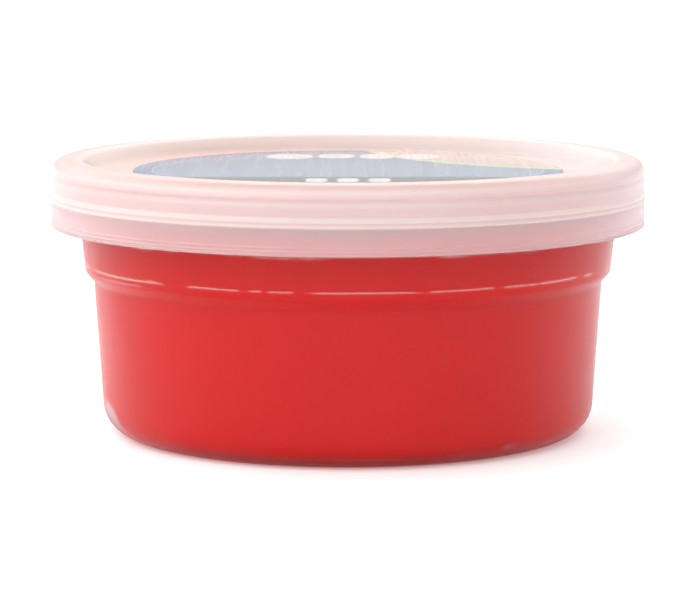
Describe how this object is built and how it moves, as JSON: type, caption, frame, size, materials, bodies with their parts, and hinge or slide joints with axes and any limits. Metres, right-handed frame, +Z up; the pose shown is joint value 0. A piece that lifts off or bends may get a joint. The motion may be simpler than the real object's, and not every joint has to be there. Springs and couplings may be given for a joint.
{
  "type": "snap-lid tub of modelling clay",
  "caption": "Low round frosted plastic tub filled with red modelling clay, with a stepped shoulder and a wide snap lid carrying a round sticker.",
  "frame": {"origin": "centre of the foot ring that the tub stands on, on the surface it stands on", "axes": "+Z up along the axis that every piece is turned about; X and Y are equivalent, and the reference view looks along +Y"},
  "size_m": [0.08, 0.08, 0.037],
  "materials": {
    "frosted_tub": "frosted translucent polypropylene",
    "frosted_lid": "frosted translucent polypropylene",
    "red_clay": "soft matt modelling clay",
    "label_print": "glossy printed paper"
  },
  "bodies": {
    "tub": {"tub": "frosted_tub", "clay": "red_clay"},
    "lid": {"lid": "frosted_lid", "lid_label": "label_print"}
  },
  "joints": [
    {"name": "lid_lift", "type": "slide", "parent": "tub", "child": "lid", "axis": [0, 0, 1], "range_m": [0, 0.045]}
  ]
}
